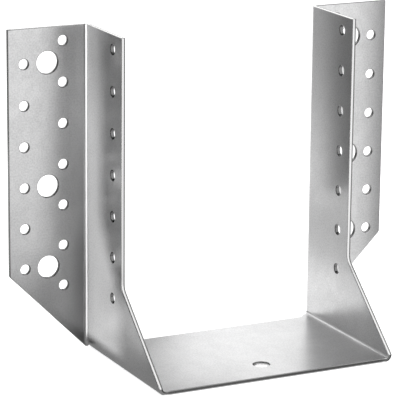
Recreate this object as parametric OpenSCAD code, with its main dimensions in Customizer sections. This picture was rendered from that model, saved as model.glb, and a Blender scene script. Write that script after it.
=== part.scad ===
// Joist hanger with outward flanges, folded from one punched blank of galvanised sheet.
//
// The joist lies in the pocket between the two webs and bears on the seat. The flanges lie
// flat against the header beam and take its nails and bolts.
//
// Frame: X runs across the pocket, Y from its mouth towards the header, and Z up from the
// underside of the seat. The origin is the middle of the hanger's width and depth on that
// underside. The modules below work with the flange backs in the plane Y = 0, and hanger()
// moves the finished sheet to the origin.

/* [Sheet] */
// Thickness of the sheet
sheet_t = 2; // [1.5:0.1:3]
// Inside radius of every bend
bend_r = 1.5; // [1:0.1:3]

/* [Pocket for the joist] */
// Clear width between the two webs
joist_w = 120; // [80:1:200]
// Overall height, from the underside of the seat to the top of the flanges
hanger_h = 160; // [120:1:240]
// Reach of the seat from the header to its front edge
seat_depth = 84; // [76:1:110]
// Gap between the header and the back edge of the seat
seat_setback = 8; // [7:0.5:14]
// Radius where the back edge of the seat turns to the corner bends
seat_corner_r = 5; // [1:0.5:6]
// Depth of the webs above the slant
web_depth = 42; // [40:1:60]
// Height at which the front edge of a web starts to slant forward
slant_z = 40; // [30:1:50]
// Radius at the top of the slant
slant_r = 5; // [1:0.5:8]

/* [Flanges] */
// Reach of a flange beyond the outer face of its web
flange_reach = 40; // [38:1:60]
// Angle of the lower edge of a flange above the horizontal
flange_cut_angle = 45; // [40:1:50]
// Radius of the lower outer corner of a flange
flange_corner_r = 2; // [0.5:0.5:6]

/* [Nail holes] */
// Diameter of a nail hole
nail_d = 5; // [4:0.1:6]
// Spacing of the nail holes down a column
nail_pitch = 20; // [18:1:26]
// Distance from the top edge to the first row of nails
nail_top = 7; // [6:1:12]
// Distance from the outer face of a web to the inner nail column of its flange
nail_inner = 12; // [10:1:14]
// Distance from the outer face of a web to the outer nail column of its flange
nail_outer = 32; // [30:1:33]
// Distance from the header to the nail column of a web
nail_web = 32; // [28:1:34]
// Least height of a nail hole above the slanting edge of its flange
nail_clear = 10; // [8:1:11]

/* [Bolt holes] */
// Diameter of a bolt hole
bolt_d = 11; // [9:0.5:13]
// Distance from the outer face of a web to the bolt column of its flange
bolt_out = 20; // [19:0.5:22]

/* [Seat hole] */
// Diameter of the hole in the seat
seat_hole_d = 8; // [5:0.5:12]
// Distance from the front edge of the seat to its hole
seat_hole_in = 17; // [12:1:30]

/* [Hidden] */
$fn = 96;

// Overlap of a cut beyond the face that it cuts
over = 1;
// How far a round stands proud of the edges that run into it, so that they cross it cleanly
proud = 0.001;
// Outside radius of a bend
bend_out = bend_r + sheet_t;
// Inner and outer face of the right web
web_in = joist_w / 2;
web_out = web_in + sheet_t;
// Height of the slanting edge of a flange at a distance out from its web
function edge_z(out) = out * tan(flange_cut_angle);
// Outer edge of the right flange
flange_x = web_out + flange_reach;
// Centre of the bend between seat and web
seat_bend_x = web_in - bend_r;
// Half the straight part of the back edge of the seat
seat_back_x = seat_bend_x - (seat_setback - bend_out);

// Heights of the nails of a flange column at a distance out from the web, from the top down
function rows(top, out) = [for (z = top; z >= edge_z(out) + nail_clear; z = z - nail_pitch) z];
inner_rows = rows(hanger_h - nail_top, nail_inner);
outer_rows = rows(hanger_h - nail_top - nail_pitch / 2, nail_outer);
// Bolts sit beside the first, the middle and the last nail of the outer column
last = len(outer_rows) - 1;
bolt_rows = [for (i = [0, ceil(last / 2), last]) outer_rows[i]];

// Centre of a round of radius r in the corner b between the neighbours a and c
function unit(v) = v / norm(v);
function round_centre(a, b, c, r) =
    let (u = unit(a - b), w = unit(c - b), half = acos(u * w) / 2)
    b + unit(u + w) * r / sin(half);
// Step from the point p square to the line through a and b
function square_to(p, a, b) = let (u = unit(b - a)) a - p + u * ((p - a) * u);

// What a round of radius r takes off the corner b between the neighbours a and c
module corner_waste(a, b, c, r) {
    m = round_centre(a, b, c, r);
    difference() {
        polygon([m, m + 2 * square_to(m, a, b), m + 2 * (b - m), m + 2 * square_to(m, c, b)]);
        translate(m) circle(r + proud);
    }
}

// Convex outline p whose corner i is rounded by the radius r[i], with 0 for a sharp corner
module soft_polygon(p, r) {
    n = len(p);
    difference() {
        polygon(p);
        for (i = [0:n - 1])
            if (r[i] > 0) corner_waste(p[(i + n - 1) % n], p[i], p[(i + 1) % n], r[i]);
    }
}

// Plan section of the right web, cut at the distance depth from the header
module web_section(depth) {
    translate([web_in, -depth]) square([sheet_t, depth - bend_out]);
}

// Plan section of the bend from the right web to its flange, with the flange out to reach
module flange_section(reach) {
    translate([web_in + bend_out, -bend_out])
        intersection() {
            difference() {
                circle(bend_out);
                circle(bend_r);
            }
            translate([-bend_out, 0]) square(bend_out);
        }
    translate([web_in + bend_out, -sheet_t]) square([reach - web_in - bend_out, sheet_t]);
}

// Carries a plan section down round the bend between the right web and the seat
module round_the_seat_bend(angle) {
    translate([seat_bend_x, 0, bend_out])
        rotate([-90, 0, 0])
            rotate_extrude(angle = angle) translate([-seat_bend_x, 0]) children();
}

// Right web and flange above the seat bend, before the outlines are cut
module upright() {
    translate([0, 0, bend_out])
        linear_extrude(hanger_h - bend_out + over) {
            web_section(seat_depth);
            flange_section(flange_x + over);
        }
}

// Bend from the right web to the seat. The flange bend is carried round it for half its
// turn, which is as far as the slanting cut of the blank leaves any metal.
module seat_bend() {
    round_the_seat_bend(90) web_section(seat_depth);
    round_the_seat_bend(45) flange_section(web_in + 2 * bend_out);
}

// Seat between the bends, with its set-back rear edge
module seat() {
    linear_extrude(sheet_t) difference() {
        translate([-seat_bend_x, -seat_depth]) square([2 * seat_bend_x, seat_depth]);
        soft_polygon([
            [-seat_back_x, -seat_setback],
            [seat_back_x, -seat_setback],
            [seat_back_x + seat_setback + over, over],
            [-seat_back_x - seat_setback - over, over]
        ], [seat_corner_r, seat_corner_r, 0, 0]);
    }
}

// Front view of the whole hanger, which gives the flanges their slanting lower edges
module front_outline() {
    translate([0, over, 0])
        rotate([90, 0, 0])
            linear_extrude(seat_depth + 2 * over) soft_polygon([
                [-flange_x, hanger_h],
                [-flange_x, edge_z(flange_reach)],
                [-web_out, 0],
                [web_out, 0],
                [flange_x, edge_z(flange_reach)],
                [flange_x, hanger_h]
            ], [0, flange_corner_r, 0, 0, flange_corner_r, 0]);
}

// Space in front of the webs, seen from the side
module web_cut() {
    rotate([90, 0, 90])
        linear_extrude(2 * (web_out + over), center = true)
            soft_polygon([
                [-web_depth, hanger_h + 2 * over],
                [-web_depth, slant_z],
                [-seat_depth, bend_out],
                [-seat_depth - over, bend_out],
                [-seat_depth - over, hanger_h + 2 * over]
            ], [0, slant_r, 0, 0, 0]);
}

// Round hole along Y through a flange, at each height of a column
module flange_column(x, heights, d) {
    for (z = heights)
        translate([x, over, z])
            rotate([90, 0, 0]) cylinder(h = sheet_t + 2 * over, d = d);
}

// Every hole of the right half. The web has its nails at the heights of the inner column.
module side_holes() {
    flange_column(web_out + nail_inner, inner_rows, nail_d);
    flange_column(web_out + nail_outer, outer_rows, nail_d);
    flange_column(web_out + bolt_out, bolt_rows, bolt_d);
    for (z = inner_rows)
        translate([web_in - over, -nail_web, z])
            rotate([0, 90, 0]) cylinder(h = sheet_t + 2 * over, d = nail_d);
}

// Hole near the front edge of the seat
module seat_hole() {
    translate([0, seat_hole_in - seat_depth, -over])
        cylinder(h = sheet_t + 2 * over, d = seat_hole_d);
}

// Both hands of what is modelled on the right
module both_sides() {
    children();
    mirror([1, 0, 0]) children();
}

// The sheet as bent, before anything is cut
module bent_sheet() {
    seat();
    both_sides() {
        upright();
        seat_bend();
    }
}

module hanger() {
    color("gainsboro")
        translate([0, seat_depth / 2, 0])
            difference() {
                intersection() {
                    bent_sheet();
                    front_outline();
                }
                web_cut();
                both_sides() side_holes();
                seat_hole();
            }
}

hanger();
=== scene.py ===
"""Joist hanger folded from galvanised sheet: its mesh, its finish and a plain studio.

The hanger is worked out from its flat blank. Blank lays the outline, the punched holes and a
grid of points out in the flat, Fold carries flat points round the bends, and FoldedSheet closes
both faces with rounded cut edges. GalvanisedFinish dresses it, and Studio and PhotoCamera set
the floor, the lights and the view. The hanger's sizes are millimetres until Fold turns them into
metres, and the finish and the studio are in metres.
"""

import logging
import math
from dataclasses import dataclass
from enum import Enum

import bpy
import numpy as np
from mathutils import Matrix, Vector
from mathutils.geometry import delaunay_2d_cdt


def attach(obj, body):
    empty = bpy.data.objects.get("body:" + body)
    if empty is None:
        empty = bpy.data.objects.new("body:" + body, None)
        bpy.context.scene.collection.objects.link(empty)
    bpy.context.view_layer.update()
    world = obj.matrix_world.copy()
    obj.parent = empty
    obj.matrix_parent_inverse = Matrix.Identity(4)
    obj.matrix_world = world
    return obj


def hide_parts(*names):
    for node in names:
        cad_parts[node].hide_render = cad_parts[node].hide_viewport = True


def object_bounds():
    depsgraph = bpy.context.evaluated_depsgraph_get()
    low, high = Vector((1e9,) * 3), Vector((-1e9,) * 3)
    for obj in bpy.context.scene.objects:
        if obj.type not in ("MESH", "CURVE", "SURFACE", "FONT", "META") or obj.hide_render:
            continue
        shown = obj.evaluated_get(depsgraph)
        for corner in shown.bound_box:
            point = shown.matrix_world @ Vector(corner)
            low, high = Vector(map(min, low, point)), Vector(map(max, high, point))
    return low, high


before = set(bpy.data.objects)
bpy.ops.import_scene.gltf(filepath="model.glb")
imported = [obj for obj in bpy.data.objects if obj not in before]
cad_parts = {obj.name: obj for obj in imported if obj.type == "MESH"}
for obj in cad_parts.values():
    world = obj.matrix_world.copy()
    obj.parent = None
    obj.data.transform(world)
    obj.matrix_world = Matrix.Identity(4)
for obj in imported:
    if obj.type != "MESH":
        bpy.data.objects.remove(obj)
CAD_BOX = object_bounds()

MM = 0.001
QUARTER = math.pi / 2
TINY = 1e-9
Colour = tuple[float, float, float, float]
WHITE: Colour = (1.0, 1.0, 1.0, 1.0)
BLACK: Colour = (0.0, 0.0, 0.0, 1.0)
log = logging.getLogger("hanger")


class Side(Enum):
    """A face of the sheet, as its distance from the middle of the sheet in half thicknesses."""

    INNER = -1.0
    OUTER = 1.0


@dataclass(frozen=True)
class Corner:
    """A corner of a flat outline, rounded by its radius."""

    u: float
    v: float
    radius: float = 0.0


@dataclass(frozen=True)
class Hole:
    """A round hole in the flat blank."""

    u: float
    v: float
    radius: float
    points: int


@dataclass(frozen=True)
class HangerSizes:
    """Driving sizes of the hanger. The header lies at v = 0 and the pocket's mouth at negative v."""

    sheet: float = 2.0
    bend_radius: float = 1.5
    pocket: float = 120.0
    height: float = 160.0
    seat_depth: float = 84.0
    seat_setback: float = 8.0
    seat_corner_radius: float = 5.0
    web_depth: float = 42.0
    slant_height: float = 40.0
    slant_radius: float = 5.0
    flange_reach: float = 40.0
    flange_cut_angle: float = math.radians(45.0)
    flange_corner_radius: float = 2.0
    soft_corner: float = 0.4
    rollover: float = 0.35
    nail: float = 5.0
    bolt: float = 11.0
    seat_hole: float = 8.0
    pitch: float = 20.0
    first_row: float = 7.0
    inner_column: float = 12.0
    outer_column: float = 32.0
    web_column: float = 32.0
    bolt_column: float = 20.0
    seat_hole_inset: float = 17.0
    rows: int = 7
    bolt_rows: tuple[int, ...] = (0, 3, 5)

    @property
    def bend_outer(self) -> float:
        """Outside radius of a bend."""
        return self.bend_radius + self.sheet

    @property
    def bend_middle(self) -> float:
        """Radius of a bend at the middle of the sheet."""
        return self.bend_radius + self.sheet / 2

    @property
    def bend_length(self) -> float:
        """Length of a quarter bend along the middle of the sheet."""
        return self.bend_middle * QUARTER

    @property
    def seat_half(self) -> float:
        """Half the flat width of the seat between its bends."""
        return self.pocket / 2 - self.bend_radius

    @property
    def web_outer(self) -> float:
        """Distance from the middle of the pocket to the outer face of a web."""
        return self.pocket / 2 + self.sheet

    @property
    def flange_start(self) -> float:
        """Distance from the middle of the pocket to the end of the flange bend."""
        return self.pocket / 2 + self.bend_outer

    def u_at(self, z: float) -> float:
        """Flat coordinate u of the height z on the right web, above the seat bend."""
        return self.seat_half + self.bend_length + z - self.bend_outer

    def v_at(self, x: float) -> float:
        """Flat coordinate v of the distance x from the middle of the pocket, on a flange."""
        return self.bend_length - self.bend_outer + x - self.flange_start


class Fold:
    """Carries flat points to the folded hanger.

    The flat coordinates are u, from the middle of the seat out and up along the webs, v, from the
    pocket's mouth to the header and on out along the flanges, and h, from the middle of the sheet
    outwards. The flange bend turns v about an upright line outside the web, and the seat bend
    then turns u about a line along the pocket. STEP is the short step that finds a direction.
    """

    STEP = 0.02

    def __init__(self, sizes: HangerSizes) -> None:
        """Keeps the sizes that the bends take their places from."""
        self.sizes = sizes

    def place(self, uv: np.ndarray, h: np.ndarray | float) -> np.ndarray:
        """Folds flat points.

        With phi the turn in the flange bend and theta the turn in the seat bend, the plan
        position is X = start - (r - h) cos phi + beyond, and the final position is
        x = flat + (X - axis) sin theta and z = outer - (X - axis) cos theta + up.

        Args:
            uv: Flat points, one row each.
            h: Height of each point above the middle of the sheet.

        Returns:
            The points in the shared frame, in metres, one row each.
        """
        s = self.sizes
        u, v = uv[:, 0], uv[:, 1]
        phi = np.clip((v + s.bend_outer) / s.bend_middle, 0, QUARTER)
        radius = s.bend_middle - h
        beyond = np.maximum(v + s.bend_outer - s.bend_length, 0)
        plan_x = s.flange_start - radius * np.cos(phi) + beyond
        y = np.minimum(v, -s.bend_outer) + radius * np.sin(phi) + s.seat_depth / 2
        out = np.abs(u)
        theta = np.clip((out - s.seat_half) / s.bend_middle, 0, QUARTER)
        arm = plan_x - s.seat_half
        up = np.maximum(out - s.seat_half - s.bend_length, 0)
        x = np.minimum(out, s.seat_half) + arm * np.sin(theta)
        z = s.bend_outer - arm * np.cos(theta) + up
        return np.column_stack([np.copysign(x, u), y, z]) * MM

    def axes(self, uv: np.ndarray, h: np.ndarray | float) -> tuple[np.ndarray, np.ndarray, np.ndarray]:
        """Directions of u, v and h on the folded sheet, from short steps to either side.

        Args:
            uv: Flat points, one row each.
            h: Height of each point above the middle of the sheet.

        Returns:
            Unit vectors along u, along v and outwards, one row per point.
        """
        along = []
        for du, dv, dh in ((self.STEP, 0, 0), (0, self.STEP, 0), (0, 0, self.STEP)):
            shift = np.array([du, dv])
            run = self.place(uv + shift, h + dh) - self.place(uv - shift, h - dh)
            along.append(run / np.linalg.norm(run, axis=1, keepdims=True))
        return along[0], along[1], along[2]


class Blank:
    """The punched blank in the flat: its outline, its holes and the points of its grid.

    GRID is the distance between grid lines, and BEND_STEPS their number in a bend. The slanting
    cut has BEND_CUT_CORNERS in the bends. ARC_STEP is the turn between two points of an arc, and
    LEAST_STEP the least distance between two points of the outline. The grid's points stay CLEAR
    of the cut edges, and RING is how far outside a hole its ring of points lies.
    """

    GRID = 3.0
    BEND_STEPS = 12
    BEND_CUT_CORNERS = 5
    ARC_STEP = 0.17
    LEAST_STEP = 0.1
    CLEAR = 0.9
    RING = 1.2 * CLEAR
    NAIL_POINTS = 40
    BOLT_POINTS = 72
    SEAT_HOLE_POINTS = 56

    def __init__(self, sizes: HangerSizes) -> None:
        """Lays out the outline, the holes and the grid lines.

        Args:
            sizes: The hanger's sizes.
        """
        self.sizes = sizes
        self.u_lines, self.v_lines = self._grid_lines()
        self.outline = self._with_grid_crossings(self._rounded(self._corners()))
        self.holes = self._holes()

    @staticmethod
    def _stretch(first: float, last: float, step: float) -> np.ndarray:
        """Even places from first to last, both included, and no further apart than a step."""
        return np.linspace(first, last, max(2, math.ceil((last - first) / step) + 1))

    def _grid_lines(self) -> tuple[np.ndarray, np.ndarray]:
        """Places of the grid lines: close together in the bends, GRID apart elsewhere.

        Returns:
            The values of u and of v at which the lines run.
        """
        s = self.sizes
        fine = s.bend_length / self.BEND_STEPS
        web_foot = s.seat_half + s.bend_length
        right = np.concatenate([
            self._stretch(0, s.seat_half, self.GRID),
            self._stretch(s.seat_half, web_foot, fine),
            self._stretch(web_foot, s.u_at(s.height), self.GRID),
        ])
        bend_end = s.bend_length - s.bend_outer
        v = np.concatenate([
            self._stretch(-s.seat_depth, -s.bend_outer, self.GRID),
            self._stretch(-s.bend_outer, bend_end, fine),
            self._stretch(bend_end, s.v_at(s.web_outer + s.flange_reach), self.GRID),
        ])
        return np.unique(np.round(np.concatenate([-right, right]), 6)), np.unique(np.round(v, 6))

    def _bend_cut(self) -> list[Corner]:
        """Where the slanting cut of the blank runs through the corner of the two bends.

        Seen from the front the cut is a straight line at the cut angle c from the foot of the web,
        so at the turn theta of the seat bend it lies at the arm
        (outer + (web - axis) tan c) / (cos theta + sin theta tan c).

        Returns:
            Corners from the top of the seat bend to the middle of its turn.
        """
        s = self.sizes
        slope = math.tan(s.flange_cut_angle)
        theta = np.linspace(QUARTER, QUARTER / 2, self.BEND_CUT_CORNERS)
        reach = s.bend_outer + (s.web_outer - s.seat_half) * slope
        plan_x = s.seat_half + reach / (np.cos(theta) + np.sin(theta) * slope)
        turn = np.arccos(np.clip((s.flange_start - plan_x) / s.bend_middle, 0, 1))
        in_bend = s.bend_middle * turn - s.bend_outer
        past = s.bend_length - s.bend_outer + plan_x - s.flange_start
        v = np.where(plan_x > s.flange_start, past, in_bend)
        u = s.seat_half + s.bend_middle * theta
        return [Corner(float(a), float(b)) for a, b in zip(u, v)]

    def _corners(self) -> list[Corner]:
        """Corners of the blank, anticlockwise from the front edge of the seat.

        Returns:
            Every corner of the right half, then the left half as its mirror image.
        """
        s = self.sizes
        soft = s.soft_corner
        top, rim = s.u_at(s.height), s.v_at(s.web_outer + s.flange_reach)
        cut_rise = s.flange_reach * math.tan(s.flange_cut_angle)
        bend_cut = self._bend_cut()
        notch_u = bend_cut[-1].u
        bend_cut[-1] = Corner(notch_u, bend_cut[-1].v, soft)
        seat_back = s.seat_half - (s.seat_setback - s.bend_outer)
        right = [
            Corner(s.seat_half + s.bend_length, -s.seat_depth, soft),
            Corner(s.u_at(s.slant_height), -s.web_depth, s.slant_radius),
            Corner(top, -s.web_depth, soft),
            Corner(top, rim, soft),
            Corner(s.u_at(cut_rise), rim, s.flange_corner_radius),
            *bend_cut,
            Corner(notch_u, -s.bend_outer, soft),
            Corner(s.seat_half, -s.bend_outer, soft),
            Corner(seat_back, -s.seat_setback, s.seat_corner_radius),
        ]
        return right + [Corner(-c.u, c.v, c.radius) for c in reversed(right)]

    @classmethod
    def _arc(cls, before: np.ndarray, here: np.ndarray, after: np.ndarray, radius: float) -> np.ndarray:
        """Arc that rounds a corner.

        With half the half of the corner's angle, the arc starts at radius / tan half from the
        corner, its centre lies at radius / sin half, and it turns through pi - 2 half.

        Args:
            before: The corner before this one.
            here: This corner.
            after: The corner after it.
            radius: Radius of the arc.

        Returns:
            The arc's points, one row each.
        """
        shorter = min(np.linalg.norm(before - here), np.linalg.norm(after - here))
        back = (before - here) / np.linalg.norm(before - here)
        on = (after - here) / np.linalg.norm(after - here)
        half = math.acos(float(np.clip(back @ on, -1, 1))) / 2
        if radius / math.tan(half) > shorter:
            raise ValueError("a rounded corner is longer than the edge beside it")
        middle = (back + on) / np.linalg.norm(back + on)
        centre = here + middle * radius / math.sin(half)
        start = here + back * radius / math.tan(half) - centre
        turn = math.pi - 2 * half
        sweep = np.linspace(0, turn, max(3, math.ceil(turn / cls.ARC_STEP)))[:, None]
        spokes = start * np.cos(sweep) - radius * back * np.sin(sweep)
        return centre + spokes

    @classmethod
    def _rounded(cls, corners: list[Corner]) -> np.ndarray:
        """Outline through the corners, each drawn as an arc of its radius.

        Args:
            corners: Corners in order round the outline.

        Returns:
            The outline's points, one row each.
        """
        points = np.array([(c.u, c.v) for c in corners])
        before, after = np.roll(points, 1, axis=0), np.roll(points, -1, axis=0)
        drawn = [
            cls._arc(a, b, c, corner.radius) if corner.radius > 0 else b[None]
            for a, b, c, corner in zip(before, points, after, corners)
        ]
        return np.concatenate(drawn)

    def _with_grid_crossings(self, points: np.ndarray) -> np.ndarray:
        """Adds a point wherever the outline crosses a grid line, so that it bends with the grid.

        Args:
            points: The outline's corners, one row each.

        Returns:
            The outline with its crossings, none closer to the last than LEAST_STEP.
        """
        drawn = []
        for a, b in zip(points, np.roll(points, -1, axis=0)):
            run = b - a
            length = float(np.linalg.norm(run))
            steps = [np.zeros(1)]
            for axis, lines in ((0, self.u_lines), (1, self.v_lines)):
                if abs(run[axis]) > TINY:
                    steps.append((lines - a[axis]) / run[axis])
            t = np.unique(np.concatenate(steps))
            gap = self.LEAST_STEP / length
            t = t[(t == 0) | ((t > gap) & (t < 1 - gap))]
            t = t[np.concatenate([[True], np.diff(t) > gap])]
            drawn.append(a + t[:, None] * run)
        return np.concatenate(drawn)

    def _holes(self) -> list[Hole]:
        """Every punched hole of the blank.

        Returns:
            The nail holes of flanges and webs, the bolt holes and the hole in the seat.
        """
        s = self.sizes
        inner = [s.height - s.first_row - s.pitch * k for k in range(s.rows)]
        outer = [z - s.pitch / 2 for z in inner[:-1]]
        nail, bolt = (s.nail / 2, self.NAIL_POINTS), (s.bolt / 2, self.BOLT_POINTS)
        right = [
            *(Hole(s.u_at(z), s.v_at(s.web_outer + s.inner_column), *nail) for z in inner),
            *(Hole(s.u_at(z), s.v_at(s.web_outer + s.outer_column), *nail) for z in outer),
            *(Hole(s.u_at(z), -s.web_column, *nail) for z in inner),
            *(Hole(s.u_at(outer[k]), s.v_at(s.web_outer + s.bolt_column), *bolt) for k in s.bolt_rows),
        ]
        left = [Hole(-h.u, h.v, h.radius, h.points) for h in right]
        seat_v = s.seat_hole_inset - s.seat_depth
        seat = Hole(0.0, seat_v, s.seat_hole / 2, self.SEAT_HOLE_POINTS)
        return [*right, *left, seat]

    @staticmethod
    def _inward(points: np.ndarray) -> np.ndarray:
        """Mitred inward direction at each point of an anticlockwise outline.

        Args:
            points: The outline, one row per point.

        Returns:
            The step at each point that moves both its edges inwards by one.
        """
        run = np.roll(points, -1, axis=0) - points
        normal = np.column_stack([-run[:, 1], run[:, 0]]) / np.linalg.norm(run, axis=1, keepdims=True)
        both = normal + np.roll(normal, 1, axis=0)
        return 2 * both / (both * both).sum(axis=1, keepdims=True)

    def loops(self, inset: float) -> list[tuple[np.ndarray, np.ndarray]]:
        """The outline and the holes, drawn a distance inside the metal.

        Args:
            inset: Distance from the cut edge into the metal.

        Returns:
            For each loop its points and, at each point, the direction out of the metal.
        """
        inward = self._inward(self.outline)
        unit = inward / np.linalg.norm(inward, axis=1, keepdims=True)
        found = [(self.outline + inset * inward, -unit)]
        for hole in self.holes:
            angle = np.linspace(0, -2 * math.pi, hole.points, endpoint=False)
            spoke = np.column_stack([np.cos(angle), np.sin(angle)])
            found.append((np.array([hole.u, hole.v]) + (hole.radius + inset) * spoke, -spoke))
        return found

    def inner_points(self) -> np.ndarray:
        """Grid points and rings round the holes that lie well inside the metal.

        Returns:
            The points, one row each.
        """
        grid = np.stack(np.meshgrid(self.u_lines, self.v_lines), axis=-1).reshape(-1, 2)
        grid = grid[self.inside(grid)]
        grid = grid[self._distance_to_outline(grid) > self.CLEAR]
        rings = []
        for hole in self.holes:
            away = np.linalg.norm(grid - (hole.u, hole.v), axis=1)
            grid = grid[away > hole.radius + 2 * self.CLEAR]
            angle = np.linspace(0, 2 * math.pi, hole.points // 2, endpoint=False)
            reach = hole.radius + self.RING
            rings.append(np.column_stack([hole.u + reach * np.cos(angle), hole.v + reach * np.sin(angle)]))
        return np.concatenate([grid, *rings])

    def inside(self, points: np.ndarray, inset: float = 0.0) -> np.ndarray:
        """Tells which points lie within the outline, by counting the edges above each.

        Args:
            points: Flat points, one row each.
            inset: How far inside the cut edge the outline is drawn.

        Returns:
            True for each point inside.
        """
        a = self.loops(inset)[0][0]
        b = np.roll(a, -1, axis=0)
        u, v = points[:, :1], points[:, 1:]
        spans = (a[:, 0] > u) != (b[:, 0] > u)
        width = np.where(a[:, 0] == b[:, 0], 1.0, b[:, 0] - a[:, 0])
        at = a[:, 1] + (u - a[:, 0]) * (b[:, 1] - a[:, 1]) / width
        return (spans & (at > v)).sum(axis=1) % 2 == 1

    def _distance_to_outline(self, points: np.ndarray) -> np.ndarray:
        """Distance from each point to the nearest edge of the outline.

        Args:
            points: Flat points, one row each.

        Returns:
            The distances.
        """
        a, run = self.outline, np.roll(self.outline, -1, axis=0) - self.outline
        to = points[:, None] - a
        t = np.clip((to * run).sum(-1) / (run * run).sum(-1), 0, 1)
        return np.linalg.norm(to - t[..., None] * run, axis=-1).min(axis=1)

    def in_hole(self, points: np.ndarray, inset: float) -> np.ndarray:
        """Tells which points lie within a hole's loop: nearer its centre than the loop's sides are.

        Args:
            points: Flat points, one row each.
            inset: How far outside the hole's wall its loop is drawn.

        Returns:
            True for each point in a hole.
        """
        found = np.zeros(len(points), bool)
        for hole in self.holes:
            reach = (hole.radius + inset) * math.cos(math.pi / hole.points)
            found |= np.linalg.norm(points - (hole.u, hole.v), axis=1) < reach
        return found


@dataclass(frozen=True)
class Vertices:
    """The sheet's vertices, with a row or a value for each.

    They are the flat point, the height above the middle of the sheet, the normal on the folded
    sheet, and how far the vertex is turned into a sheared edge and into the wall of a hole.
    """

    uv: np.ndarray
    height: np.ndarray
    normal: np.ndarray
    cut: np.ndarray


class FoldedSheet:
    """The hanger's mesh: an inner and an outer face joined round every cut edge.

    EDGE_STEPS is the number of steps in each quarter circle of a cut edge, and MERGE the distance
    at which the triangulation takes two points for one.
    """

    EDGE_STEPS = 4
    MERGE = 1e-5

    def __init__(self, sizes: HangerSizes) -> None:
        """Makes the blank and the fold that the mesh is built from.

        Args:
            sizes: The hanger's sizes.
        """
        self.sizes = sizes
        self.blank = Blank(sizes)
        self.fold = Fold(sizes)

    @staticmethod
    def _after(lengths: list[int]) -> np.ndarray:
        """Index of the next point round its loop, for each point of loops of these lengths."""
        starts = np.cumsum([0, *lengths[:-1]])
        return np.concatenate([first + np.roll(np.arange(n), -1) for n, first in zip(lengths, starts)])

    def _flat_face(self) -> tuple[np.ndarray, np.ndarray, list[int]]:
        """Triangulates the flat face inside its rounded edges.

        Returns:
            The flat points, with the loops first, the triangles, and the length of each loop.
        """
        inset = self.sizes.rollover
        loops = [points for points, _ in self.blank.loops(inset)]
        lengths = [len(points) for points in loops]
        flat = np.concatenate([*loops, self.blank.inner_points()])
        edges = np.column_stack([np.arange(sum(lengths)), self._after(lengths)])
        points, _, faces, *_ = delaunay_2d_cdt(
            [Vector(p) for p in flat.tolist()], edges.tolist(), [], 0, self.MERGE
        )
        if len(points) != len(flat):
            raise ValueError("the outline crosses itself, or two of its points meet")
        triangles = np.array(faces, np.int64)
        middle = flat[triangles].mean(axis=1)
        keep = self.blank.inside(middle, inset) & ~self.blank.in_hole(middle, inset)
        return flat, triangles[keep], lengths

    def _profile(self) -> list[tuple[float, Side, float]]:
        """Rings of a cut edge, from the inner face round to the outer one.

        The edge is a quarter circle off each face with a flat wall between: at the turn psi it
        lies rollover (1 - sin psi) from the wall and rollover (1 - cos psi) below its face.

        Returns:
            For each ring its distance from the wall, the face it is nearer to, and its turn.
        """
        psi = np.linspace(0, QUARTER, self.EDGE_STEPS + 1)[1:]
        inner = [(self.sizes.rollover * (1 - math.sin(a)), Side.INNER, float(a)) for a in psi]
        return inner + [(inset, Side.OUTER, turn) for inset, _, turn in reversed(inner)]

    def _vertices(self, flat: np.ndarray, lengths: list[int]) -> Vertices:
        """Lays out the vertices: the inner face, the outer face, and then the rings.

        Args:
            flat: Points of a flat face, with the loops first.
            lengths: The number of points in each loop.

        Returns:
            The vertices.
        """
        half = self.sizes.sheet / 2
        uv, height, normal, cut = [], [], [], []
        for side in Side:
            uv.append(flat)
            height.append(np.full(len(flat), side.value * half))
            normal.append(side.value * self.fold.axes(flat, height[-1])[2])
            cut.append(np.zeros((len(flat), 2)))
        punched = np.arange(sum(lengths)) >= lengths[0]
        for inset, side, turn in self._profile():
            loops = self.blank.loops(inset)
            points = np.concatenate([p for p, _ in loops])
            out = np.concatenate([o for _, o in loops])
            level = side.value * (half - self.sizes.rollover * (1 - math.cos(turn)))
            along_u, along_v, outward = self.fold.axes(points, level)
            wall = out[:, :1] * along_u + out[:, 1:] * along_v
            wall /= np.linalg.norm(wall, axis=1, keepdims=True)
            uv.append(points)
            height.append(np.full(len(points), level))
            normal.append(math.cos(turn) * side.value * outward + math.sin(turn) * wall)
            cut.append(math.sin(turn) * np.column_stack([~punched, punched]))
        return Vertices(*(np.concatenate(part) for part in (uv, height, normal, cut)))

    def _faces(self, triangles: np.ndarray, lengths: list[int], count: int) -> list[list[int]]:
        """Joins the vertices into both faces of the sheet and the strips from ring to ring.

        Args:
            triangles: Triangles of a flat face.
            lengths: The number of points in each loop.
            count: The number of points of a flat face.

        Returns:
            The vertices of each face of the mesh.
        """
        rim = np.arange(sum(lengths))
        rings = [rim, *(2 * count + k * len(rim) + rim for k in range(2 * self.EDGE_STEPS)), count + rim]
        after = self._after(lengths)
        faces = triangles.tolist() + (triangles[:, ::-1] + count).tolist()
        for a, b in zip(rings, rings[1:]):
            faces += np.column_stack([a, b, b[after], a[after]]).tolist()
        return faces

    def build(self, name: str) -> bpy.types.Object:
        """Builds the closed sheet.

        Args:
            name: The object's name.

        Returns:
            The new object, in the scene and with its place in its mesh.
        """
        flat, triangles, lengths = self._flat_face()
        vertices = self._vertices(flat, lengths)
        mesh = bpy.data.meshes.new(name)
        places = self.fold.place(vertices.uv, vertices.height)
        mesh.from_pydata(places, [], self._faces(triangles, lengths, len(flat)))
        mesh.shade_smooth()
        normal = vertices.normal / np.linalg.norm(vertices.normal, axis=1, keepdims=True)
        mesh.normals_split_custom_set_from_vertices(normal)
        self._store(mesh, vertices)
        piece = bpy.data.objects.new(name, mesh)
        bpy.context.scene.collection.objects.link(piece)
        return piece

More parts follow.
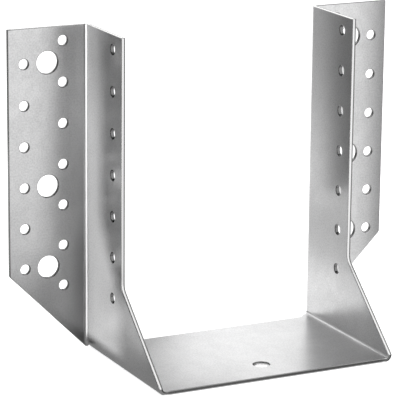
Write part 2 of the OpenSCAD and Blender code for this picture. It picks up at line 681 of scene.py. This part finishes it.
    def _store(self, mesh: bpy.types.Mesh, vertices: Vertices) -> None:
        """Stores what the finish reads: the flat point as a UV map, the cut edges and the depth.

        Args:
            mesh: The finished mesh.
            vertices: Its vertices.
        """
        corner = np.zeros(len(mesh.loops), np.int64)
        mesh.loops.foreach_get("vertex_index", corner)
        layer = mesh.uv_layers.new(name="blank")
        layer.data.foreach_set("uv", (vertices.uv[corner] * MM).astype(np.float32).ravel())
        sheared, punched = vertices.cut.T
        depth = vertices.height / self.sizes.sheet + 0.5
        for label, values in (("sheared", sheared), ("punched", punched), ("depth", depth)):
            attribute = mesh.attributes.new(label, "FLOAT", "POINT")
            attribute.data.foreach_set("value", values.astype(np.float32))


class Band(Enum):
    """A smooth step of the finish: what it reads, where it starts and ends, and its two levels.

    Without levels it rises from 0 to 1. SheetShader says what each reading is. Places are metres
    on the flat blank, where across is negative on the webs.
    """

    OUTER_FACE = ("depth", 0.6, 0.9)
    LOWER_HALF = ("depth", 0.35, 0.6)
    # right half of an edge, away from the light, where painted shade goes
    SHADED_RIGHT_HALF = ("side", 0.04, 0.12)
    WEB = ("out", 0.0625, 0.068)
    SEAT = ("out", 0.056, 0.060, 1.0, 0.0)
    # painted highlight: the outer faces of the webs get lighter towards their bends
    HIGHLIGHT_BESIDE_BEND = ("across", -0.036, -0.006)
    SHORT_OF_BEND = ("across", -0.0044, -0.0036, 1.0, 0.0)
    # painted highlight along the bends between the webs and the flanges
    BEND_HIGHLIGHT_FROM = ("across", -0.0032, -0.0024)
    BEND_HIGHLIGHT_TO = ("across", -0.0016, -0.0008, 1.0, 0.0)
    MATT = ("across", -0.028, -0.008)
    MATT_SPREAD = ("out", 0.085, 0.135, 0.022, 0.0)
    MATT_UPWARD = ("out", 0.165, 0.212, 1.0, 0.45)
    LEFT_HALF = ("along", -0.020, 0.000, 1.0, 0.0)
    FLANGE = ("across", -0.001, 0.001)
    FLANGE_RIM = ("across", 0.0366, 0.0374)
    # painted shade on the left flange beside its bend and towards its foot
    FLANGE_SHADE_WIDE = ("across", 0.000, 0.030, 0.55, 0.0)
    FLANGE_SHADE_DOWNWARD = ("along", -0.210, -0.130)
    FLANGE_SHADE_BESIDE = ("across", 0.001, 0.009, 0.22, 0.0)
    FLANGE_SHADE_LOW = ("across", 0.006, 0.016, 0.20, 0.0)
    FLANGE_SHADE_FOOT = ("along", -0.130, -0.105)
    SHEARED = ("sheared", 0.3, 0.7)
    PUNCHED = ("punched", 0.2, 0.6)
    # painted shade: a thin dark line where a face turns into a cut edge
    EDGE_SHADE_FROM = ("cut", 0.0, 0.2)
    EDGE_SHADE_TO = ("cut", 0.2, 0.5, 0.7, 0.0)
    # painted shade along the edges of the seat and the outer edges of the flanges
    RIM_LINE = ("cut", 0.0, 0.15, 0.0, 0.75)


class Value:
    """A number or colour that varies over a surface: a socket that takes part in arithmetic."""

    def __init__(self, shader: "Shader", socket: bpy.types.NodeSocket) -> None:
        """Keeps the socket and the shader that it belongs to."""
        self.shader = shader
        self.socket = socket

    def __add__(self, other: "Value | float") -> "Value":
        """The sum."""
        return self.shader.maths("ADD", self, other)

    def __sub__(self, other: "Value | float") -> "Value":
        """The difference."""
        return self.shader.maths("SUBTRACT", self, other)

    def __rsub__(self, other: float) -> "Value":
        """The difference, taken from a plain number."""
        return self.shader.maths("SUBTRACT", other, self)

    def __mul__(self, other: "Value | float") -> "Value":
        """The product."""
        return self.shader.maths("MULTIPLY", self, other)

    __radd__ = __add__
    __rmul__ = __mul__


class Shader:
    """A material's node tree and the one method that adds nodes to it."""

    def __init__(self, name: str) -> None:
        """Starts an empty material.

        Args:
            name: The material's name.
        """
        self.material = bpy.data.materials.new(name)
        self.material.use_nodes = True
        self.tree = self.material.node_tree
        self.tree.nodes.clear()

    def node(self, kind: str, settings: dict | None = None, inputs: dict | None = None) -> bpy.types.Node:
        """Adds a node.

        Args:
            kind: The node's type.
            settings: Its properties, which are set first.
            inputs: Its sockets by name or number, each with a value or a link.

        Returns:
            The new node.
        """
        made = self.tree.nodes.new(kind)
        for name, value in (settings or {}).items():
            setattr(made, name, value)
        for name, value in (inputs or {}).items():
            if isinstance(value, Value):
                self.tree.links.new(value.socket, made.inputs[name])
            else:
                made.inputs[name].default_value = value
        return made

    def value(
        self, kind: str, settings: dict | None = None, inputs: dict | None = None, output: int | str = 0
    ) -> Value:
        """Adds a node and takes one of its outputs, by name or number, as a value."""
        return Value(self, self.node(kind, settings, inputs).outputs[output])

    def maths(self, operation: str, a: Value | float, b: Value | float = 0.0) -> Value:
        """Adds a Math node and takes its result."""
        return self.value("ShaderNodeMath", {"operation": operation}, {0: a, 1: b})

    def attribute(self, name: str, output: str = "Fac") -> Value:
        """Reads an attribute of the mesh."""
        return self.value("ShaderNodeAttribute", {"attribute_name": name}, {}, output)

    def step(self, value: Value, band: Band) -> Value:
        """Carries a value smoothly from one level to another.

        Args:
            value: The value that the step reads.
            band: Where the step starts and ends, and its levels.

        Returns:
            The level.
        """
        _, low, high, *levels = band.value
        start, end = levels or (0.0, 1.0)
        return self.value(
            "ShaderNodeMapRange",
            {"interpolation_type": "SMOOTHSTEP"},
            {"Value": value, "From Min": low, "From Max": high, "To Min": start, "To Max": end},
        )

    def larger(self, a: Value, b: Value) -> Value:
        """The larger of two values."""
        return self.maths("MAXIMUM", a, b)

    def blend(self, share: Value, a: Value | Colour, b: Value | Colour) -> Value:
        """Mixes two colours, with a share of the second."""
        return self.value("ShaderNodeMix", {"data_type": "RGBA"}, {0: share, 6: a, 7: b}, 2)

    def finish(self, **inputs: Value | float | Colour) -> bpy.types.Material:
        """Closes the material with its surface shader.

        Args:
            inputs: The surface shader's sockets, with underscores for the spaces in their names.

        Returns:
            The finished material.
        """
        named = {name.replace("_", " "): value for name, value in inputs.items()}
        surface = self.value("ShaderNodeBsdfPrincipled", {}, named)
        self.node("ShaderNodeOutputMaterial", {}, {"Surface": surface})
        return self.material


class SheetShader(Shader):
    """A shader with its readings of the hanger's mesh.

    Along and across are the place on the flat blank, and out is the distance along it from the
    middle of the seat. Depth is 0 on the inner face and 1 on the outer one, and side is the depth
    towards the right from the middle of the sheet. Sheared, punched and cut rise to 1 as the
    surface turns into an outer edge, into the wall of a hole, and into either.
    """

    def __init__(self, name: str) -> None:
        """Starts the material and adds the nodes that read the mesh.

        Args:
            name: The material's name.
        """
        super().__init__(name)
        self.flat = self.value("ShaderNodeUVMap", {"uv_map": "blank"})
        place = self.node("ShaderNodeSeparateXYZ", {}, {0: self.flat})
        self.along, self.across = Value(self, place.outputs[0]), Value(self, place.outputs[1])
        self.out = self.maths("ABSOLUTE", self.along)
        self.depth = self.attribute("depth")
        self.side = (self.depth - 0.5) * self.maths("SIGN", self.along)
        self.sheared, self.punched = self.attribute("sheared"), self.attribute("punched")
        self.cut = self.sheared + self.punched

    def zone(self, *bands: Band) -> Value:
        """The product of the steps of some bands, each over its own reading."""
        steps = [self.step(getattr(self, band.value[0]), band) for band in bands]
        return math.prod(steps[1:], start=steps[0])


@dataclass(frozen=True)
class Noise:
    """A soft pattern on the flat blank: its scale per metre, its detail and its roughness."""

    scale: float
    detail: float
    roughness: float

    def build(self, sheet: SheetShader) -> Value:
        """Adds the pattern, as a value that varies about 0.5."""
        look = {"Scale": self.scale, "Detail": self.detail, "Roughness": self.roughness}
        settings, inputs = {"noise_dimensions": "2D"}, {"Vector": sheet.flat, **look}
        return sheet.value("ShaderNodeTexNoise", settings, inputs)


@dataclass(frozen=True)
class GalvanisedFinish:
    """Galvanised sheet: satin zinc, fine spangle, bright sheared edges, painted shade in the holes.

    The zinc is a blend of light and dark by the spangle, the grain and the cloud. It has a painted
    highlight and is matt beside the bends of the webs, a painted highlight on these bends, and
    painted shade on the left flange beside its bend.
    """

    zinc_light: Colour = (0.83, 0.83, 0.833, 1.0)
    zinc_dark: Colour = (0.61, 0.61, 0.613, 1.0)
    # colour of the painted highlights beside and on the bends of the webs
    painted_highlight_colour: Colour = (0.935, 0.935, 0.937, 1.0)
    # colour of the painted shade on the left flange
    painted_flange_shade: Colour = (0.225, 0.225, 0.227, 1.0)
    sheared: Colour = (0.84, 0.84, 0.84, 1.0)
    # dark torn steel, laid mostly as painted shade on cut edges and in hole walls
    torn_and_shade: Colour = (0.21, 0.21, 0.21, 1.0)
    spangle: float = 0.0032
    grain: Noise = Noise(1250.0, 2.0, 0.5)
    cloud: Noise = Noise(45.0, 6.0, 0.65)
    dark: float = 0.24
    dark_by_spangle: float = 0.12
    dark_by_grain: float = 1.3
    dark_by_cloud: float = 0.6
    # share of painted highlight beside the web bends, broken up by grain and cloud
    highlight_share: float = 0.8
    highlight_share_by_grain: float = 1.2
    highlight_share_by_cloud: float = 0.8
    roughness: float = 0.29
    sheared_roughness: float = 0.14
    # extra roughness over the zone of the painted highlight beside the web bends
    rough_by_highlight: float = 0.26
    rough_by_grain: float = 0.08
    rough_by_spangle: float = 0.03
    matt: float = 0.38
    # metallic taken off along the painted bend highlight
    bend_highlight: float = 0.7
    bump_strength: float = 0.08
    bump_distance: float = 0.0001

    @staticmethod
    def _flange_shade(sheet: SheetShader) -> Value:
        """Where painted shade darkens the left flange: beside its bend, more and more down to its foot.

        Args:
            sheet: The sheet's shader.

        Returns:
            The share of the painted shade colour.
        """
        wide = sheet.zone(Band.FLANGE_SHADE_WIDE, Band.FLANGE_SHADE_DOWNWARD)
        low = sheet.zone(Band.FLANGE_SHADE_LOW, Band.FLANGE_SHADE_FOOT)
        on_left_flange = sheet.zone(Band.FLANGE, Band.LEFT_HALF, Band.OUTER_FACE)
        return on_left_flange * (wide + sheet.zone(Band.FLANGE_SHADE_BESIDE) + low)

    @staticmethod
    def _matt(sheet: SheetShader) -> Value:
        """Where the webs are matt: beside their bends, wider at the foot and weaker at the top."""
        beside = sheet.step(sheet.across + sheet.zone(Band.MATT_SPREAD), Band.MATT)
        return beside * sheet.zone(Band.SHORT_OF_BEND, Band.WEB, Band.OUTER_FACE, Band.MATT_UPWARD)

    @staticmethod
    def _torn_and_shade(sheet: SheetShader, edge: Value, wall: Value) -> Value:
        """Where the dark torn-steel colour is laid, mostly as painted shade.

        That is the right half of a sheared edge, away from the light, most of the edges of the seat
        and of the outer edges of the flanges, and the walls of the holes, in the seat only their upper
        half.

        Args:
            sheet: The sheet's shader.
            edge: Where the surface is a sheared edge.
            wall: Where it is the wall of a hole.

        Returns:
            The share of dark torn steel and painted shade.
        """
        on_seat, on_rim = sheet.zone(Band.SEAT), sheet.zone(Band.FLANGE_RIM)
        strip = edge * sheet.zone(Band.SHADED_RIGHT_HALF) * (1 - on_seat) * (1 - on_rim)
        line = sheet.zone(Band.RIM_LINE) * sheet.larger(on_seat, on_rim) * (1 - wall)
        hole = wall * (1 - on_seat * sheet.zone(Band.LOWER_HALF))
        return sheet.larger(sheet.larger(strip, hole), line)

    def material(self) -> bpy.types.Material:
        """Makes the material.

        Returns:
            The finished material.
        """
        sheet = SheetShader("galvanised_sheet")
        pattern = {"Vector": sheet.flat, "Scale": 1 / self.spangle}
        cells = sheet.value("ShaderNodeTexVoronoi", {"voronoi_dimensions": "2D"}, pattern, "Color")
        tone = sheet.value("ShaderNodeSeparateColor", {}, {0: cells})
        grain = self.grain.build(sheet)
        fleck, drift = grain - 0.5, self.cloud.build(sheet) - 0.5
        # zone of the painted highlight beside the web bends; the same zone is also rougher
        highlight_beside_bend = sheet.zone(Band.HIGHLIGHT_BESIDE_BEND, Band.SHORT_OF_BEND, Band.WEB, Band.OUTER_FACE)
        # painted highlight along the web bends, which are also less metallic there
        bend_highlight = sheet.zone(Band.BEND_HIGHLIGHT_FROM, Band.BEND_HIGHLIGHT_TO, Band.WEB, Band.OUTER_FACE)
        edge, wall = sheet.zone(Band.SHEARED), sheet.zone(Band.PUNCHED)

        share = self.dark_by_spangle * tone + self.dark_by_grain * fleck + self.dark_by_cloud * drift
        colour = sheet.blend(share + self.dark, self.zinc_light, self.zinc_dark)
        # painted highlight: the webs lighter towards their bends
        highlight_share = highlight_beside_bend * (self.highlight_share - self.highlight_share_by_grain * fleck - self.highlight_share_by_cloud * drift)
        colour = sheet.blend(sheet.larger(highlight_share, bend_highlight), colour, self.painted_highlight_colour)
        # painted shade on the left flange beside its bend
        colour = sheet.blend(self._flange_shade(sheet), colour, self.painted_flange_shade)
        # painted shade: a thin dark line where each face turns into its cut edge
        colour = sheet.blend(sheet.zone(Band.EDGE_SHADE_FROM, Band.EDGE_SHADE_TO), colour, self.torn_and_shade)
        colour = sheet.blend(edge, colour, self.sheared)
        # dark torn steel, mostly painted shade: right half of sheared edges, seat and flange rim edges,
        # hole walls
        colour = sheet.blend(self._torn_and_shade(sheet, edge, wall), colour, self.torn_and_shade)

        rough = self.roughness + self.rough_by_highlight * highlight_beside_bend + self.rough_by_grain * fleck
        rough = rough + self.rough_by_spangle * tone
        relief = {"Strength": self.bump_strength, "Distance": self.bump_distance, "Height": grain}
        return sheet.finish(
            Base_Color=colour,
            Roughness=rough + (self.sheared_roughness - self.roughness) * (edge + wall),
            Metallic=1 - self.matt * self._matt(sheet) - self.bend_highlight * bend_highlight,
            Normal=sheet.value("ShaderNodeBump", {}, relief),
        )


@dataclass(frozen=True)
class Softbox:
    """A rectangular studio light, aimed at the hanger."""

    name: str
    place: tuple[float, float, float]
    size: tuple[float, float]
    power: float

    def build(self, aim: Vector) -> bpy.types.Object:
        """Adds the light.

        Args:
            aim: The point that it faces.

        Returns:
            The light's object.
        """
        data = bpy.data.lights.new(self.name, "AREA")
        data.shape = "RECTANGLE"
        data.size, data.size_y = self.size
        data.energy = self.power
        light = bpy.data.objects.new(self.name, data)
        light.location = self.place
        light.rotation_euler = (aim - light.location).to_track_quat("-Z", "Y").to_euler()
        light.visible_camera = False
        light.visible_glossy = False
        bpy.context.scene.collection.objects.link(light)
        return light


class Face(Enum):
    """A face of the light tent: the axis that it is square to, and its place along that axis."""

    FLOOR = (2, 0.0005)
    ROOF = (2, 0.45)
    FRONT = (1, -0.45)
    BACK = (1, 0.45)
    LEFT = (0, -0.35)
    RIGHT = (0, 0.35)
    POCKET = (1, 0.062)
    FLANGE = (0, 0.135)


@dataclass(frozen=True)
class Panel:
    """A rectangle of the tent: the face it is on, its reach along and up that face, and its glow."""

    face: Face
    along: tuple[float, float]
    up: tuple[float, float]
    glow: float

    def corners(self) -> np.ndarray:
        """Corners of the panel.

        Returns:
            The four corners in order, one row each.
        """
        (a, b), (low, high) = self.along, self.up
        axis, place = self.face.value
        return np.insert([(a, low), (b, low), (b, high), (a, high)], axis, place, axis=1)


@dataclass(frozen=True)
class LightTent:
    """A box of pale and dark panels round the hanger, seen only in its reflections.

    Floor and roof panels reach along X and up Y, front and back panels along X and up Z, and left
    and right panels along Y and up Z. Two more faces stand close to the hanger, one behind its
    pocket and one beside its right flange.
    """

    panels: tuple[Panel, ...] = (
        Panel(Face.FLOOR, (-0.35, -0.085), (-0.45, -0.22), 0.74),
        Panel(Face.FLOOR, (-0.35, -0.085), (-0.22, -0.15), 0.68),
        Panel(Face.FLOOR, (-0.35, -0.14), (-0.15, -0.085), 0.58),
        Panel(Face.FLOOR, (-0.35, -0.14), (-0.085, 0.00), 0.02),
        Panel(Face.FLOOR, (-0.35, -0.14), (0.00, 0.11), 0.11),
        Panel(Face.FLOOR, (-0.14, -0.085), (-0.15, 0.008), 0.02),
        Panel(Face.FLOOR, (-0.14, -0.085), (0.008, 0.045), 0.65),
        Panel(Face.FLOOR, (-0.14, -0.085), (0.045, 0.11), 0.64),
        Panel(Face.FLOOR, (-0.35, -0.20), (0.11, 0.33), 0.72),
        Panel(Face.FLOOR, (-0.20, -0.085), (0.11, 0.33), 0.63),
        Panel(Face.FLOOR, (-0.35, -0.085), (0.33, 0.45), 0.86),
        Panel(Face.FLOOR, (-0.085, 0.00), (-0.45, -0.068), 0.70),
        Panel(Face.FLOOR, (-0.085, 0.00), (-0.068, 0.00), 0.25),
        Panel(Face.FLOOR, (-0.085, 0.00), (0.00, 0.042), 0.26),
        Panel(Face.FLOOR, (-0.085, 0.00), (0.042, 0.075), 0.02),
        Panel(Face.FLOOR, (-0.085, 0.00), (0.075, 0.13), 0.25),
        Panel(Face.FLOOR, (-0.085, 0.00), (0.13, 0.18), 0.48),
        Panel(Face.FLOOR, (-0.085, 0.00), (0.18, 0.23), 0.36),
        Panel(Face.FLOOR, (-0.085, 0.00), (0.23, 0.45), 1.12),
        Panel(Face.FLOOR, (0.00, 0.13), (-0.45, -0.062), 0.93),
        Panel(Face.FLOOR, (0.00, 0.13), (-0.062, -0.042), 0.22),
        Panel(Face.FLOOR, (0.00, 0.13), (-0.042, 0.00), 0.90),
        Panel(Face.FLOOR, (0.00, 0.13), (0.00, 0.075), 0.99),
        Panel(Face.FLOOR, (0.13, 0.35), (-0.45, 0.075), 1.09),
        Panel(Face.FLOOR, (0.00, 0.35), (0.075, 0.45), 1.12),
        Panel(Face.BACK, (-0.35, -0.25), (0.0, 0.215), 0.45),
        Panel(Face.BACK, (-0.25, -0.09), (0.0, 0.215), 0.34),
        Panel(Face.BACK, (-0.09, 0.09), (0.0, 0.215), 1.15),
        Panel(Face.BACK, (0.09, 0.18), (0.0, 0.215), 0.02),
        Panel(Face.BACK, (0.18, 0.26), (0.0, 0.215), 1.28),
        Panel(Face.BACK, (0.26, 0.35), (0.0, 0.215), 1.00),
        Panel(Face.BACK, (-0.35, -0.09), (0.215, 0.45), 0.55),
        Panel(Face.BACK, (-0.09, 0.35), (0.215, 0.45), 1.28),
        Panel(Face.FRONT, (-0.35, 0.00), (0.0, 0.45), 0.02),
        Panel(Face.FRONT, (0.00, 0.20), (0.0, 0.45), 1.11),
        Panel(Face.FRONT, (0.20, 0.35), (0.0, 0.45), 1.09),
        Panel(Face.LEFT, (-0.45, -0.16), (0.0, 0.45), 0.02),
        Panel(Face.LEFT, (-0.16, -0.05), (0.0, 0.45), 1.60),
        Panel(Face.LEFT, (-0.05, 0.45), (0.0, 0.45), 0.02),
        Panel(Face.RIGHT, (-0.45, 0.45), (0.0, 0.45), 1.10),
        Panel(Face.ROOF, (-0.35, 0.08), (-0.45, 0.06), 0.02),
        Panel(Face.ROOF, (-0.35, 0.08), (0.06, 0.30), 0.55),
        Panel(Face.ROOF, (-0.35, 0.08), (0.30, 0.45), 0.02),
        Panel(Face.ROOF, (0.08, 0.35), (-0.45, 0.02), 1.10),
        Panel(Face.ROOF, (0.08, 0.35), (0.02, 0.45), 0.02),
        Panel(Face.POCKET, (-0.058, 0.036), (0.058, 0.16), 0.06),
        Panel(Face.FLANGE, (-0.10, -0.025), (0.0, 0.20), 1.12),
        Panel(Face.FLANGE, (-0.025, 0.03), (0.0, 0.20), 0.03),
    )

    def build(self) -> bpy.types.Object:
        """Adds the tent.

        Returns:
            The tent's object.
        """
        points = np.concatenate([panel.corners() for panel in self.panels])
        faces = np.arange(len(points)).reshape(-1, 4).tolist()
        mesh = bpy.data.meshes.new("light_tent")
        mesh.from_pydata(points, [], faces)
        glow = mesh.attributes.new("glow", "FLOAT", "FACE")
        glow.data.foreach_set("value", [panel.glow for panel in self.panels])
        shader = Shader("light_tent")
        material = shader.finish(
            Base_Color=BLACK,
            Roughness=1.0,
            Specular_IOR_Level=0.0,
            Emission_Color=shader.attribute("glow", "Color"),
            Emission_Strength=1.0,
        )
        material.cycles.emission_sampling = "NONE"
        mesh.materials.append(material)
        tent = bpy.data.objects.new("light_tent", mesh)
        tent.visible_camera = False
        tent.visible_shadow = False
        tent.visible_diffuse = False
        bpy.context.scene.collection.objects.link(tent)
        return tent


@dataclass(frozen=True)
class Studio:
    """The pale floor, the pale surroundings and the lights."""

    floor_size: float = 12.0
    floor_shade: float = 0.82
    floor_roughness: float = 0.8
    floor_glow: float = 0.35
    surroundings: float = 1.2
    key: Softbox = Softbox("key_softbox", (-0.75, -0.55, 1.05), (0.8, 0.8), 12.0)
    tent: LightTent = LightTent()

    def _floor(self) -> bpy.types.Object:
        """Adds the floor, which glows faintly so that it is as white as in the photograph.

        Returns:
            The floor's object.
        """
        half = self.floor_size / 2
        mesh = bpy.data.meshes.new("floor")
        corners = [(-half, -half, 0), (half, -half, 0), (half, half, 0), (-half, half, 0)]
        mesh.from_pydata(corners, [], [(0, 1, 2, 3)])
        mesh.materials.append(
            Shader("floor").finish(
                Base_Color=(self.floor_shade, self.floor_shade, self.floor_shade, 1.0),
                Roughness=self.floor_roughness,
                Specular_IOR_Level=0.0,
                Emission_Color=WHITE,
                Emission_Strength=self.floor_glow,
            )
        )
        floor = bpy.data.objects.new("floor", mesh)
        bpy.context.scene.collection.objects.link(floor)
        return floor

    def build(self, aim: Vector) -> None:
        """Builds the studio round the hanger.

        Args:
            aim: The point that the softbox faces.
        """
        self._floor()
        world = bpy.data.worlds.new("studio")
        world.use_nodes = True
        sky = world.node_tree.nodes["Background"]
        sky.inputs["Color"].default_value = WHITE
        sky.inputs["Strength"].default_value = self.surroundings
        bpy.context.scene.world = world
        self.key.build(aim)
        self.tent.build()


@dataclass(frozen=True)
class PhotoCamera:
    """The camera of the photograph. Angles are degrees and lengths millimetres, but clip is metres."""

    focal_pixels: float = 2458.0
    image_pixels: float = 400.0
    turn: float = 26.58
    dip: float = 14.53
    roll: float = -0.56
    aim: tuple[float, float, float] = (0.0, 22.0, 80.0)
    across: float = 9.03
    away: float = 1191.8
    below: float = -8.05
    sensor: float = 36.0
    clip: tuple[float, float] = (0.05, 50.0)

    def build(self) -> bpy.types.Object:
        """Adds the camera and makes it the scene's.

        Returns:
            The camera's object.
        """
        turn, dip, roll = (math.radians(a) for a in (self.turn, self.dip, self.roll))
        ahead = Vector((math.sin(turn) * math.cos(dip), math.cos(turn) * math.cos(dip), -math.sin(dip)))
        level = Vector((math.cos(turn), -math.sin(turn), 0))
        down = ahead.cross(level)
        right = level * math.cos(roll) + down * math.sin(roll)
        low = down * math.cos(roll) - level * math.sin(roll)
        place = Vector(self.aim) - right * self.across - low * self.below - ahead * self.away
        data = bpy.data.cameras.new("photo_camera")
        data.sensor_width = self.sensor
        data.lens = self.focal_pixels * self.sensor / self.image_pixels
        data.clip_start, data.clip_end = self.clip
        camera = bpy.data.objects.new("photo_camera", data)
        axes = Matrix((right, -low, -ahead)).transposed()
        camera.matrix_world = Matrix.LocRotScale(place * MM, axes.to_quaternion(), None)
        bpy.context.scene.collection.objects.link(camera)
        bpy.context.scene.camera = camera
        return camera


def main() -> None:
    """Builds the camera, the hanger and the studio in order."""
    logging.basicConfig(level=logging.INFO, format="%(name)s: %(message)s")
    bpy.context.scene.view_settings.view_transform = "Standard"
    PhotoCamera().build()
    log.info("camera set")
    sheet = FoldedSheet(HangerSizes()).build("folded_sheet")
    sheet.data.materials.append(GalvanisedFinish().material())
    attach(sheet, "root")
    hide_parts("hanger")
    log.info("folded sheet: %d vertices, %d faces", len(sheet.data.vertices), len(sheet.data.polygons))
    low, high = CAD_BOX
    Studio().build((low + high) / 2)
    log.info("studio set")


if __name__ == "__main__":
    main()
